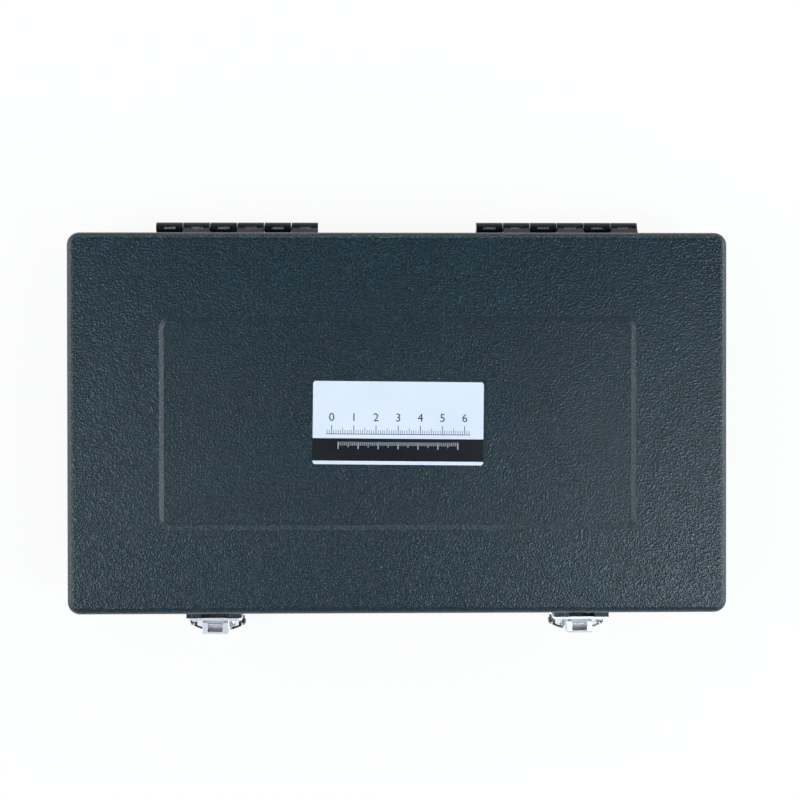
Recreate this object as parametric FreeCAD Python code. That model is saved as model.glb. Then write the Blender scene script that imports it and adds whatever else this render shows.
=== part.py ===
import FreeCAD, Part
import math
import os

# Digital polar planimeter in its moulded carrying case.
# Millimetres, +Z up, case lying flat with its lid on top: +X right, +Y to the hinges, -Y to the latches.
# The origin is the middle of the box around the closed case, on the surface it rests on.

# Case
case_width = 300.0
case_depth = 174.0
base_height = 30.0
lid_height = 22.0
wall = 2.5
corner_radius = 6.5
base_draft = 1.2
lid_draft = 1.0
lid_edge_radius = 3.5
base_edge = 2.0
panel_width = 215.0
panel_depth = 96.0
panel_radius = 5.5
panel_sink = 1.2
panel_bevel = 2.0
rim_thickness = 1.2
rim_height = 2.0
rim_gap = 0.3
rim_shelf = 4.0
front_lip_length = 284.0
front_lip_out = 1.2
front_lip_height = 2.6
front_lip_taper = 5.0
label_width = 77.0
label_depth = 37.5
label_thickness = 0.5
label_tilt = -0.6
pad_thickness = 5.0
pad_margin = 4.0

# Hinges
hinge_x = 74.0
hinge_length = 75.0
knuckle_count = 6
knuckle_gap = 0.4
barrel_radius = 2.7
hinge_clearance = 0.3
hinge_pin_radius = 1.4
running_gap = 0.06
window_length = 5.8
window_width = 1.2
window_flare = 0.3

# Draw latches
latch_x = 84.0
latch_width = 25.0
plate_thickness = 1.2
latch_pad_out = 2.0
latch_pad_gap = 11.5
strike_bottom = 31.5
strike_top = 42.0
tongue_half_width = 3.0
tongue_top = 35.1
tongue_thickness = 1.3
tongue_out = 6.2
tongue_bead = 0.3
strike_rivet_z = 39.0
latch_plate_bottom = 5.0
latch_plate_top = 26.5
latch_rivet_z = 9.0
plate_corner = 1.0
lever_pivot_out = 6.6
lever_pivot_z = 22.0
claw_pivot_out = 5.4
claw_pivot_z = 16.0
lever_top = 24.0
lever_bottom = 3.2
lever_lip_z = 6.0
lever_lip_out = 0.8
lever_sheet = 1.0
lever_front_out = 11.0
lever_bow = 2.6
lever_slot_bottom = 7.6
lug_thickness = 1.3
ear_thickness = 1.2
side_gap = 0.3
pivot_radius = 0.9
pivot_head = 1.3
pivot_head_thickness = 0.4
ear_radius = 1.8
claw_half_width = 5.8
claw_cheek = 2.4
claw_out = 10.2
claw_web = 1.0
claw_back_out = 4.0
claw_top = 37.2
claw_bar_radius = 0.8
claw_bar_out = 4.7
claw_bar_lift = 0.5
rivet_shank = 1.2
rivet_head = 1.8
rivet_crown = 1.1
rivet_rise = 0.7
rivet_tail = 0.6

# Tray
tray_gap = 0.5
tray_top = 27.5
tray_wall = 1.5
tray_radius = 4.5
pocket_radius = 3.0
pocket_gap = 3.0
finger_radius = 12.0

# Measuring carriage, stowed flat with its wheels just above the pocket floor
carriage_x = 78.0
carriage_y = 36.0
carriage_length = 76.0
carriage_width = 46.0
chassis_bottom = 7.5
chassis_thickness = 3.5
cover_top = 32.0
cover_wall = 2.0
cover_radius = 4.0
cover_bevel = 1.2
arm_gap = 0.6
pocket_floor = 5.0
carriage_room = 2.0
wheel_gap = 0.4
wheel_radius = 9.5
wheel_width = 5.0
wheel_web = 1.8
wheel_hub = 3.0
wheel_room = 1.0
wheel_left = 21.5
axle_radius = 1.0
bearing_radius = 2.2
bearing_length = 3.0
left_bearing_left = 30.0
right_bearing_right = 2.5
encoder_left = 6.0
encoder_radius = 6.5
encoder_thickness = 0.8
encoder_hub = 2.4
encoder_room = 3.0
roller_radius = 4.0
roller_width = 5.0
roller_gap = 0.6
roller_right = 26.0
roller_axle_radius = 0.8
sleeve_left = 30.0
sleeve_right = 20.0
clamp_left = 8.0
clamp_radius = 1.5
clamp_knob_radius = 4.6
clamp_knob_length = 6.0
clamp_flute = 0.5
board_bottom = 26.0
board_thickness = 1.2
display_left = 15.5
display_length = 34.0
display_depth = 15.0
display_frame = 3.0
window_thickness = 1.0
panel_thickness = 1.8
key_right = 10.0
key_radius = 3.5
key_gap = 0.3
key_pitch = 10.0
key_travel = 0.8
key_stand = 0.6
cell_right = 22.0
cell_back = 8.0
cell_radius = 10.0
cell_thickness = 3.2
cap_gap = 0.3
screw_radius = 1.0
screw_length = 6.0
screw_gap = 0.1
screw_head = 1.9
screw_head_height = 1.1
screw_slot = 0.5
post_radius = 2.6
post_margin = 5.0

# Arms
arm_width = 8.0
arm_height = 5.0
arm_left = -122.0
arm_right = 104.0
arm_bottom = 15.0
arm_travel = 20.0
sleeve_gap = 0.15
sleeve_wall = 2.5
lens_radius = 8.0
lens_edge = 2.6
lens_rise = 1.2
ring_wall = 2.5
ring_height = 4.0
ring_ledge = 0.8
neck_length = 30.0
neck_thickness = 2.0
grip_right = 26.0
grip_radius = 4.0
grip_pin = 1.5
pole_y = -45.0
pole_weight_x = -98.0
pole_weight_radius = 17.0
pole_weight_bottom = 6.5
pole_weight_height = 17.5
pole_arm_right = 98.0
pole_arm_width = 7.0
pole_arm_thickness = 4.0
pole_screw_radius = 1.5
pole_screw_depth = 10.0
pole_screw_head = 4.0
pole_gap = 0.4
ball_radius = 2.6
ball_drop = 6.5
needle_radius = 0.7
needle_depth = 4.0
needle_point = 1.2
rule_length = 120.0
rule_width = 14.0
rule_thickness = 1.2
rule_hole = 0.8
rule_margin = 8.0
rule_x = -50.0
rule_y = -6.0

# Small round pieces and their bores are drawn with flats, and so are small round corners
fine_radius = 2.0
fine_sides = 12
small_radius = 5.0
small_sides = 16
small_corner = 2.5

# Worked out from the sizes above
parting = base_height
total_height = base_height + lid_height
pin_out = barrel_radius + hinge_clearance
front_out = lever_front_out + lever_lip_out
centre_y = (front_out - pin_out - barrel_radius) / 2
front = centre_y - case_depth / 2
back = centre_y + case_depth / 2
lever_half_width = latch_width / 2 - ear_thickness - side_gap
slot_half = claw_half_width + side_gap
chassis_top = chassis_bottom + chassis_thickness
board_top = board_bottom + board_thickness
carriage_mid = centre_y + carriage_y
arm_y = carriage_mid - carriage_width / 2 + post_margin + post_radius + 0.5 + arm_width / 2
axle_y = carriage_mid + carriage_width / 2 - cover_wall - wheel_room - wheel_radius
axle_z = pocket_floor + wheel_gap + wheel_radius
roller_z = pocket_floor + wheel_gap + roller_radius
wheel_x = carriage_x - wheel_left
encoder_x = carriage_x - encoder_left
left_bearing_x = carriage_x - left_bearing_left
right_bearing_x = carriage_x + right_bearing_right
roller_x = carriage_x + roller_right
roller_reach = roller_width / 2 + 2.5
cell_x = carriage_x + cell_right
cell_y = carriage_mid + cell_back
clamp_x = carriage_x - clamp_left
sleeve_x0 = carriage_x - sleeve_left
sleeve_x1 = carriage_x + sleeve_right
display_x = carriage_x - display_left
ring_bottom = pocket_floor + 1.0
lens_bottom = ring_bottom + ring_ledge
grip_x = arm_left + grip_right
pole_mid = centre_y + pole_y
pole_weight_top = pole_weight_bottom + pole_weight_height
pole_arm_bottom = pole_weight_top + pole_gap
rule_mid = centre_y + rule_y
channel_floor = arm_bottom - 2.5
pole_channel_floor = pole_arm_bottom - 2.0
rule_floor = tray_top - rule_thickness - 0.5

Vector = FreeCAD.Vector


def box(x0, x1, y0, y1, z0, z1):
    return Part.makeBox(x1 - x0, y1 - y0, z1 - z0, Vector(x0, y0, z0))


def ring(centre, direction, radius, sides):
    """A closed wire of equal straight edges around an axis."""
    first = Vector(0, 1, 0) if direction.x else Vector(1, 0, 0)
    second = direction.cross(first)
    corners = []
    for i in range(sides):
        angle = 2 * math.pi * i / sides
        corners.append(centre + first * (radius * math.cos(angle)) + second * (radius * math.sin(angle)))
    return Part.makePolygon(corners + corners[:1])


def cylinder(start, direction, radius, length):
    """A round bar or bore: with flats where it is small, truly round where it is large."""
    start = Vector(*start)
    direction = Vector(*direction)
    if radius > small_radius:
        return Part.makeCylinder(radius, length, start, direction)
    sides = fine_sides if radius < fine_radius else small_sides
    return Part.Face(ring(start, direction, radius, sides)).extrude(direction * length)


def spindle(start, direction, profile, sides=fine_sides):
    """A small turned piece with flats, from (radius, distance along its axis) pairs."""
    start = Vector(*start)
    direction = Vector(*direction)
    rings = [ring(start + direction * at, direction, radius, sides) for radius, at in profile]
    return Part.makeLoft(rings, True, True)


def upright(x, y, z0, z1, radius):
    return cylinder((x, y, z0), (0, 0, 1), radius, z1 - z0)


def along_x(x0, x1, y, z, radius):
    return cylinder((x0, y, z), (1, 0, 0), radius, x1 - x0)


def rounded(width, depth, radius, z, x=0.0, y=0.0):
    """A closed wire: a rectangle with round corners, level at z."""
    a = width / 2
    b = depth / 2
    r = min(radius, a - 0.01, b - 0.01)
    k = r * (1 - math.sqrt(0.5))
    corners = ((1, -1), (1, 1), (-1, 1), (-1, -1))
    edges = []
    ends = []
    for sx, sy in corners:
        first = Vector(x + sx * a, y + sy * (b - r), z)
        last = Vector(x + sx * (a - r), y + sy * b, z)
        if sx * sy < 0:
            first, last = last, first
        middle = Vector(x + sx * (a - k), y + sy * (b - k), z)
        if r < small_corner:
            edges.append(Part.makeLine(first, last))
        else:
            edges.append(Part.Arc(first, middle, last).toShape())
        ends.append((first, last))
    for i, (first, last) in enumerate(ends):
        edges.append(Part.makeLine(last, ends[(i + 1) % 4][0]))
    return Part.Wire(Part.__sortEdges__(edges))


def slab(width, depth, radius, z0, z1, x=0.0, y=0.0):
    face = Part.Face(rounded(width, depth, radius, z0, x, y))
    return face.extrude(Vector(0, 0, z1 - z0))


def tapered(bottom, top):
    """A solid between two rounded rectangles, each given as (width, depth, radius, z, x, y)."""
    return Part.makeLoft([rounded(*bottom), rounded(*top)], True, True)


def level_edges(shape, z):
    """The edges that lie level at one height."""
    found = []
    for edge in shape.Edges:
        span = edge.BoundBox
        if abs(span.ZMin - z) < 1e-4 and abs(span.ZMax - z) < 1e-4:
            found.append(edge)
    return found


def profile_x(points, x0, x1):
    """A prism along X from (y, z) corners."""
    wire = Part.makePolygon([Vector(x0, y, z) for y, z in points + points[:1]])
    return Part.Face(wire).extrude(Vector(x1 - x0, 0, 0))


def fuse(shapes):
    joined = shapes[0]
    for shape in shapes[1:]:
        joined = joined.fuse(shape)
    return joined.removeSplitter()


def cut(shape, tools):
    for tool in tools:
        shape = shape.cut(tool)
    return shape


def save(name, solids):
    if not isinstance(solids, list):
        solids = [solids]
    parts = []
    for shape in solids:
        parts.extend(shape.Solids)
    whole = parts[0] if len(parts) == 1 else Part.makeCompound(parts)
    if not whole.isValid():
        raise ValueError(name + " is not a valid shape")
    whole.exportStep("parts/" + name + ".step")
    print(name, len(parts), "solid", round(whole.Volume, 1), "mm3")


def wall_in(z):
    """How far the front wall's inner face stands in from the parting line at a height."""
    if z < parting:
        return wall + base_draft * (parting - z) / (base_height - wall)
    return wall + lid_draft * (z - parting) / (lid_height - wall)


def latch_box(x, half, out0, out1, z0, z1):
    """A block on the front, by its distance out from the front wall at the parting line."""
    return box(x - half, x + half, front - out1, front - out0, z0, z1)


def latch_pads(x, z0, z1):
    """Two moulded pads that carry a latch plate, with a recess between them."""
    sunk = max(base_draft, lid_draft) + wall / 2
    pads = latch_box(x, latch_width / 2, -sunk, latch_pad_out, z0, z1)
    gap = latch_box(x, latch_pad_gap / 2, 0, latch_pad_out + 1, z0 - 1, z1 + 1)
    return pads.cut(gap)


def rivet_places(z):
    offset = latch_width / 2 - rivet_head - 1.6
    return [(side * latch_x + turn * offset, z) for side in (-1, 1) for turn in (-1, 1)]


def rivet_holes(z):
    return [cylinder((x, front - 10, at), (0, 1, 0), rivet_shank, 20) for x, at in rivet_places(z)]


def rivets(side, z):
    """Two domed rivets through a plate, its pad and the case wall, closed over inside."""
    out = latch_pad_out + plate_thickness
    inner = max(wall_in(z - rivet_head), wall_in(z + rivet_head))
    made = []
    for x, at in rivet_places(z):
        if x * side < 0:
            continue
        shank = cylinder((x, front - out, at), (0, 1, 0), rivet_shank, out + inner)
        profile = [(rivet_crown, 0), (rivet_head, rivet_rise)]
        dome = spindle((x, front - out - rivet_rise, at), (0, 1, 0), profile)
        tail = cylinder((x, front + inner, at), (0, 1, 0), rivet_head, rivet_tail)
        made.append(fuse([shank, dome, tail]))
    return made


def knuckle_spans(side):
    """The six knuckles of one hinge, left to right, as (x0, x1, belongs to the base)."""
    pitch = hinge_length / knuckle_count
    start = side * hinge_x - hinge_length / 2
    spans = []
    for i in range(knuckle_count):
        x0 = start + i * pitch + knuckle_gap / 2
        x1 = start + (i + 1) * pitch - knuckle_gap / 2
        spans.append((x0, x1, i % 2 == 0))
    return spans


def knuckle(x0, x1, up, bore):
    """A hinge knuckle: barrel, web to the wall and a window that shows the pin."""
    y = back + pin_out
    barrel = along_x(x0, x1, y, parting, barrel_radius)
    root = 2.6 * barrel_radius
    inside = back - wall / 2
    flat = 2 * math.pi / small_sides
    tangent = (y + barrel_radius * math.sin(flat), parting + up * barrel_radius * math.cos(flat))
    web = profile_x([(inside, parting), (y, parting), tangent, (y, parting + up * barrel_radius),
                     (inside, parting + up * root)], x0, x1)
    body = fuse([barrel, web])
    hole = along_x(x0 - 1, x1 + 1, y, parting, bore)
    middle = (x0 + x1) / 2
    half = window_width / 2
    wide = half + window_flare
    over = parting + 2 * root
    window = profile_x([(y - half, parting), (y + half, parting), (y + half, parting + bore),
                        (y + wide, over), (y - wide, over), (y - half, parting + bore)],
                       middle - window_length / 2, middle + window_length / 2)
    return cut(body, [hole, window])


def knuckle_relief(x0, x1):
    """The room that a knuckle of the other half needs in this half's wall."""
    return along_x(x0 - knuckle_gap, x1 + knuckle_gap, back + pin_out, parting, pin_out - 0.02)


def base_shell():
    drop = 2 * base_draft * (1 - base_edge / parting)
    level = (case_width - drop, case_depth - drop, corner_radius, base_edge, 0, centre_y)
    under = 2 * (base_draft + base_edge)
    foot = (case_width - under, case_depth - under, corner_radius - base_edge, 0, 0, centre_y)
    brim = (case_width, case_depth, corner_radius, parting, 0, centre_y)
    outer = fuse([tapered(foot, level), tapered(level, brim)])
    inset = 2 * (wall + base_draft)
    inner_radius = corner_radius - wall
    cavity = tapered(
        (case_width - inset, case_depth - inset, inner_radius, wall, 0, centre_y),
        (case_width - 2 * wall, case_depth - 2 * wall, inner_radius, parting, 0, centre_y))
    shell = outer.cut(cavity)
    rim_in = wall + rim_gap
    rim_out = slab(case_width - 2 * rim_in, case_depth - 2 * rim_in, inner_radius, parting - rim_shelf,
                   parting + rim_height, 0, centre_y)
    shelf = slab(case_width - wall, case_depth - wall, inner_radius, parting - rim_shelf, parting, 0, centre_y)
    bore = 2 * (rim_in + rim_thickness)
    hollow = slab(case_width - bore, case_depth - bore, inner_radius - rim_thickness, 0,
                  total_height, 0, centre_y)
    rim = fuse([rim_out, shelf]).cut(hollow)
    half = front_lip_length / 2
    lip_low = parting - front_lip_height
    lip_points = [(-half, 0.0), (-half + front_lip_taper, front_lip_out),
                  (half - front_lip_taper, front_lip_out), (half, 0.0), (half, -1.0), (-half, -1.0)]
    lip_wire = Part.makePolygon([Vector(x, front - out, lip_low) for x, out in lip_points + lip_points[:1]])
    lip = Part.Face(lip_wire).extrude(Vector(0, 0, front_lip_height))
    pieces = [shell, rim, lip]
    for side in (-1, 1):
        pieces.append(latch_pads(side * latch_x, latch_plate_bottom - 1.0, parting))
        for x0, x1, is_base in knuckle_spans(side):
            if is_base:
                pieces.append(knuckle(x0, x1, -1, hinge_pin_radius))
    body = fuse(pieces)
    hinge_room = []
    for side in (-1, 1):
        for x0, x1, is_base in knuckle_spans(side):
            if not is_base:
                hinge_room.append(knuckle_relief(x0, x1))
            else:
                y = back + pin_out
                hinge_room.append(along_x(x0 - 1, x1 + 1, y, parting, hinge_pin_radius))
    return cut(body, hinge_room + rivet_holes(latch_rivet_z))


def lid_shell():
    narrow = (case_width - 2 * lid_draft, case_depth - 2 * lid_draft, corner_radius - lid_draft)
    outer = tapered((case_width, case_depth, corner_radius, parting, 0, centre_y),
                    narrow + (total_height, 0, centre_y))
    outer = outer.makeFillet(lid_edge_radius, level_edges(outer, total_height))
    inset = 2 * (wall + lid_draft)
    inner_radius = corner_radius - wall
    ceiling = total_height - wall
    cavity = tapered(
        (case_width - 2 * wall, case_depth - 2 * wall, inner_radius, parting, 0, centre_y),
        (case_width - inset, case_depth - inset, inner_radius - lid_draft, ceiling, 0, centre_y))
    step = slab(panel_width, panel_depth, panel_radius, ceiling - panel_sink, ceiling + 1, 0, centre_y)
    shell = outer.cut(cavity.cut(step))
    sunk = tapered(
        (panel_width - 2 * panel_bevel, panel_depth - 2 * panel_bevel, panel_radius - panel_bevel,
         total_height - panel_sink, 0, centre_y),
        (panel_width, panel_depth, panel_radius, total_height, 0, centre_y))
    pieces = [shell.cut(sunk)]
    for side in (-1, 1):
        pieces.append(latch_pads(side * latch_x, parting + 0.6, strike_top + 1.2))
        for x0, x1, is_base in knuckle_spans(side):
            if not is_base:
                pieces.append(knuckle(x0, x1, 1, hinge_pin_radius + running_gap))
    body = fuse(pieces)
    hinge_room = []
    for side in (-1, 1):
        for x0, x1, is_base in knuckle_spans(side):
            if is_base:
                hinge_room.append(knuckle_relief(x0, x1))
            else:
                y = back + pin_out
                hinge_room.append(along_x(x0 - 1, x1 + 1, y, parting, hinge_pin_radius + running_gap))
    return cut(body, hinge_room + rivet_holes(strike_rivet_z))


def hinge_pin(side):
    length = hinge_length - knuckle_gap
    bevel = 0.25
    profile = [(hinge_pin_radius - bevel, 0), (hinge_pin_radius, bevel), (hinge_pin_radius, length - bevel),
               (hinge_pin_radius - bevel, length)]
    return spindle((side * hinge_x - length / 2, back + pin_out, parting), (1, 0, 0), profile)


def label_plate():
    """The plate in the middle of the panel, which sits a little askew."""
    top = total_height - panel_sink
    plate = slab(label_width, label_depth, 0.8, top, top + label_thickness, 0, centre_y)
    plate.rotate(Vector(0, centre_y, 0), Vector(0, 0, 1), label_tilt)
    return plate


def lid_pad():
    top = total_height - wall - panel_sink
    return slab(panel_width - 2 * pad_margin, panel_depth - 2 * pad_margin, panel_radius, top - pad_thickness,
                top, 0, centre_y)


def strike_plate(side):
    """The plate on the lid, with the tongue that the claw's bar hooks over."""
    x = side * latch_x
    out = latch_pad_out + plate_thickness
    plate = sheet_plate(x, strike_bottom, strike_top)
    low = tongue_top - tongue_thickness
    bead_top = tongue_top + tongue_bead
    tongue = profile_x(
        [(front - latch_pad_out, low - 0.8), (front - out - 1.0, low), (front - tongue_out, low),
         (front - tongue_out, bead_top), (front - tongue_out + 0.4, bead_top),
         (front - tongue_out + 0.6, tongue_top), (front - latch_pad_out, tongue_top)],
        x - tongue_half_width, x + tongue_half_width)
    return cut(fuse([plate, tongue]), rivet_holes(strike_rivet_z))


def sheet_plate(x, z0, z1):
    """A pressed plate on the latch pads, with its corners taken off."""
    plate = latch_box(x, latch_width / 2, latch_pad_out, latch_pad_out + plate_thickness, z0, z1)
    corners = [e for e in plate.Edges if e.BoundBox.YLength > plate_thickness / 2]
    return plate.makeChamfer(plate_corner, corners)


def ear(x, out, z, thick, radius, root_out):
    """A side ear: a round end about a pivot, running back to the plate or sheet that it stands on."""
    disc = along_x(x - thick / 2, x + thick / 2, front - out, z, radius)
    near = min(out, root_out)
    far = max(out, root_out)
    web = box(x - thick / 2, x + thick / 2, front - far, front - near, z - radius, z + radius)
    return fuse([disc, web])


def latch_plate(side):
    """The plate on the base, with an ear at each side for the lever's pivots."""
    x = side * latch_x
    plate = sheet_plate(x, latch_plate_bottom, latch_plate_top)
    offset = latch_width / 2 - ear_thickness / 2
    ears = [ear(x + turn * offset, lever_pivot_out, lever_pivot_z, ear_thickness, ear_radius + 0.2,
                latch_pad_out + plate_thickness / 2) for turn in (-1, 1)]
    bore = along_x(x - latch_width, x + latch_width, front - lever_pivot_out, lever_pivot_z, pivot_radius)
    return cut(fuse([plate] + ears), [bore] + rivet_holes(latch_rivet_z))


def sheet_out(offset):
    """How far out the lever's bowed front face stands, at a distance from its middle."""
    radius = (lever_half_width ** 2 + lever_bow ** 2) / (2 * lever_bow)
    return lever_front_out - radius + math.sqrt(radius ** 2 - offset ** 2)


def lever_section(x, z, shift):
    """The lever's bowed section, seen from above."""
    half = lever_half_width
    front_points = [(-half, sheet_out(half)), (0, sheet_out(0)), (half, sheet_out(half))]
    outer = [Vector(x + a, front - o - shift, z) for a, o in front_points]
    inner = [Vector(x + a, front - o - shift + lever_sheet, z) for a, o in front_points]
    edges = [
        Part.Arc(*outer).toShape(),
        Part.makeLine(outer[2], inner[2]),
        Part.Arc(*reversed(inner)).toShape(),
        Part.makeLine(inner[0], outer[0]),
    ]
    return Part.Wire(edges)


def latch_lever(side):
    """A bowed finger lever with a slot for the claw, side ears on its pivots and lugs for the claw's pin."""
    x = side * latch_x
    sheet = Part.makeLoft([lever_section(x, lever_lip_z, 0), lever_section(x, lever_top, 0)], True, True)
    lip = Part.makeLoft(
        [lever_section(x, lever_bottom, lever_lip_out), lever_section(x, lever_lip_z, 0)], True, True)
    body = fuse([sheet, lip])
    slot = latch_box(x, slot_half, 0, 2 * front_out, lever_slot_bottom, lever_top + 1)
    pieces = [body.cut(slot)]
    for turn in (-1, 1):
        middle = x + turn * (lever_half_width - lug_thickness / 2)
        root = sheet_out(lever_half_width - lug_thickness) - lever_sheet / 2
        pieces.append(ear(middle, lever_pivot_out, lever_pivot_z, lug_thickness, ear_radius, root))
        middle = x + turn * (slot_half + lug_thickness / 2)
        root = sheet_out(slot_half + lug_thickness) - lever_sheet / 2
        pieces.append(ear(middle, claw_pivot_out, claw_pivot_z, lug_thickness, ear_radius, root))
    inner = lever_half_width - lug_thickness - side_gap
    bores = [along_x(x - slot_half - 2, x + slot_half + 2, front - claw_pivot_out, claw_pivot_z, pivot_radius)]
    for x0, x1 in ((x - latch_width, x - inner), (x + inner, x + latch_width)):
        bores.append(along_x(x0, x1, front - lever_pivot_out, lever_pivot_z, pivot_radius + running_gap))
    return cut(fuse(pieces), bores).removeSplitter()


def lever_pivots(side):
    """Two stub rivets, one through each ear into the lever."""
    x = side * latch_x
    inner = lever_half_width - lug_thickness
    outer = latch_width / 2
    made = []
    for turn in (-1, 1):
        start = (x + turn * inner, front - lever_pivot_out, lever_pivot_z)
        shank = cylinder(start, (turn, 0, 0), pivot_radius, outer - inner)
        start = (x + turn * outer, front - lever_pivot_out, lever_pivot_z)
        head = cylinder(start, (turn, 0, 0), pivot_head, pivot_head_thickness)
        made.append(fuse([shank, head]))
    return made


def latch_claw(side):
    """A channel that straddles the tongue and hooks over it with a cross bar."""
    x = side * latch_x
    bottom = claw_pivot_z
    back_face = front - claw_back_out
    front_face = front - claw_out
    outline = profile_x(
        [(back_face, claw_top - 1.4), (back_face, bottom), (back_face - 0.6, bottom - 1.6),
         (back_face - 2.6, bottom - 1.6), (front_face, bottom + 2.0), (front_face, claw_top - 0.8),
         (front_face + 0.8, claw_top), (back_face - 1.0, claw_top)],
        x - claw_half_width, x + claw_half_width)
    inside = box(x - claw_half_width + claw_cheek, x + claw_half_width - claw_cheek,
                 front_face + claw_web, back_face + 5, bottom - 5, claw_top + 5)
    bar_z = tongue_top + claw_bar_radius + claw_bar_lift
    bar = along_x(x - claw_half_width + claw_cheek - 0.5, x + claw_half_width - claw_cheek + 0.5,
                  front - claw_bar_out, bar_z, claw_bar_radius)
    bore = along_x(x - claw_half_width - 1, x + claw_half_width + 1, front - claw_pivot_out, claw_pivot_z,
                   pivot_radius + running_gap)
    return cut(fuse([outline.cut(inside), bar]), [bore])


def claw_pin(side):
    x = side * latch_x
    half = slot_half + lug_thickness
    return along_x(x - half, x + half, front - claw_pivot_out, claw_pivot_z, pivot_radius)


def pocket(width, depth, radius, floor, x, y):
    """A tray pocket as (outside, inside)."""
    outside = slab(width + 2 * tray_wall, depth + 2 * tray_wall, tray_wall, floor - tray_wall,
                   tray_top, x, y)
    inside = slab(width, depth, radius, floor, tray_top + 1, x, y)
    return outside, inside


def round_pocket(radius, floor, x, y):
    side = 2 * (radius + tray_wall)
    outside = slab(side, side, tray_wall, floor - tray_wall, tray_top, x, y)
    inside = upright(x, y, floor, tray_top + 1, radius)
    return outside, inside


def tray():
    """A thin moulded insert: a deck on a skirt, with a pocket for each piece of the instrument."""
    inset = wall + rim_gap + rim_thickness + tray_gap
    width = case_width - 2 * inset
    depth = case_depth - 2 * inset
    outer = slab(width, depth, tray_radius, wall, tray_top, 0, centre_y)
    inner = slab(width - 2 * tray_wall, depth - 2 * tray_wall, tray_radius - tray_wall, 0,
                 tray_top - tray_wall, 0, centre_y)
    knob_room = 9.0
    lug_room = 10.0
    low = carriage_mid - carriage_width / 2 - knob_room
    high = carriage_mid + carriage_width / 2 + lug_room
    ring_room = lens_radius + ring_wall + pocket_gap
    neck_end = arm_left + neck_length + arm_travel + pocket_gap
    arm_end = arm_right + arm_travel + pocket_gap
    channel = arm_width + 2 * pocket_gap
    pole_start = pole_weight_x + pole_weight_radius
    pockets = [
        pocket(carriage_length + 2 * carriage_room, high - low, pocket_radius, pocket_floor,
               carriage_x, (low + high) / 2),
        pocket(arm_end - neck_end, channel, 2.0, channel_floor, (neck_end + arm_end) / 2, arm_y),
        pocket(neck_end - arm_left, channel, 2.0, pocket_floor, (neck_end + arm_left) / 2, arm_y),
        pocket(2 * ring_room + arm_travel, 2 * ring_room, ring_room, pocket_floor,
               arm_left + arm_travel / 2, arm_y),
        round_pocket(finger_radius + 1, channel_floor, grip_x, arm_y),
        round_pocket(pole_weight_radius + pocket_gap, pocket_floor - 0.5, pole_weight_x, pole_mid),
        pocket(pole_arm_right - pole_start + 2 * pocket_gap, pole_arm_width + pocket_gap, 2.0,
               pole_channel_floor, (pole_arm_right + pole_start) / 2, pole_mid),
        round_pocket(ball_radius + 2 * pocket_gap, 12.0, pole_arm_right, pole_mid),
        round_pocket(finger_radius, 15.0, 20.0, pole_mid),
        pocket(rule_length + 2, rule_width + 2, 1.5, rule_floor, rule_x, rule_mid),
        round_pocket(finger_radius - 2, 18.0, rule_x + rule_length / 2, rule_mid),
    ]
    body = fuse([outer.cut(inner)] + [outside for outside, inside in pockets])
    return cut(body, [inside for outside, inside in pockets]).removeSplitter()


def carriage_corners(margin):
    a = carriage_length / 2 - margin
    b = carriage_width / 2 - margin
    return [(carriage_x + sx * a, carriage_mid + sy * b) for sx in (-1, 1) for sy in (-1, 1)]


def carriage_frame():
    """The cast chassis: plate, posts, arm sleeve, bearing uprights, battery well and pole socket."""
    plate = slab(carriage_length, carriage_width, cover_radius, chassis_bottom, chassis_top,
                 carriage_x, carriage_mid)
    pieces = [plate]
    for x, y in carriage_corners(post_margin):
        pieces.append(upright(x, y, chassis_bottom + 1, board_bottom, post_radius))
    half = arm_width / 2 + sleeve_gap + sleeve_wall
    pieces.append(box(sleeve_x0, sleeve_x1, arm_y - half, arm_y + half, chassis_top - 1,
                      arm_bottom + arm_height + sleeve_gap + sleeve_wall))
    for x in (left_bearing_x, right_bearing_x):
        pieces.append(ear_upright(x, bearing_length, axle_y, axle_z, bearing_radius + 1.8))
    well = upright(cell_x, cell_y, chassis_bottom, chassis_top + 2 * cell_thickness + 0.6, cell_radius + 1.6)
    pieces.append(well)
    socket_y = carriage_mid + carriage_width / 2
    pieces.append(slab(12.0, 14.0, cover_radius, chassis_bottom, chassis_top, cell_x, socket_y))
    body = fuse(pieces)
    gap = arm_width / 2 + sleeve_gap
    holes = [
        box(sleeve_x0 - 1, sleeve_x1 + 1, arm_y - gap, arm_y + gap, arm_bottom - sleeve_gap,
            arm_bottom + arm_height + sleeve_gap),
        box(wheel_x - wheel_width / 2 - wheel_room, encoder_x + encoder_room, axle_y - wheel_radius - wheel_room,
            axle_y + wheel_radius + wheel_room, chassis_bottom - 1, chassis_top + 0.01),
        along_x(left_bearing_x - bearing_length, right_bearing_x + bearing_length, axle_y, axle_z,
                bearing_radius),
        upright(cell_x, cell_y, chassis_bottom - 1, chassis_top + 2 * cell_thickness + 1,
                cell_radius + cap_gap),
        box(roller_x - roller_width / 2 - roller_gap, roller_x + roller_width / 2 + roller_gap,
            arm_y - roller_radius - roller_gap, arm_y + roller_radius + roller_gap, chassis_bottom - 1,
            chassis_top + 1),
        along_x(roller_x - roller_reach, roller_x + roller_reach, arm_y, roller_z, roller_axle_radius),
        cylinder((clamp_x, arm_y - half - 1, arm_bottom + arm_height / 2), (0, 1, 0),
                 clamp_radius + running_gap, half + 1 - arm_width / 2),
        upright(cell_x, socket_y + 3.0, chassis_top - ball_radius, chassis_top + 1, ball_radius + running_gap),
    ]
    for x, y in carriage_corners(post_margin):
        holes.append(upright(x, y, board_bottom - screw_length, board_bottom + 1, screw_radius))
    return cut(body, holes)


def ear_upright(x, thick, y, z, radius):
    disc = along_x(x - thick / 2, x + thick / 2, y, z, radius)
    web = box(x - thick / 2, x + thick / 2, y - radius, y + radius, chassis_top - 1, z)
    return fuse([disc, web])


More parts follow.
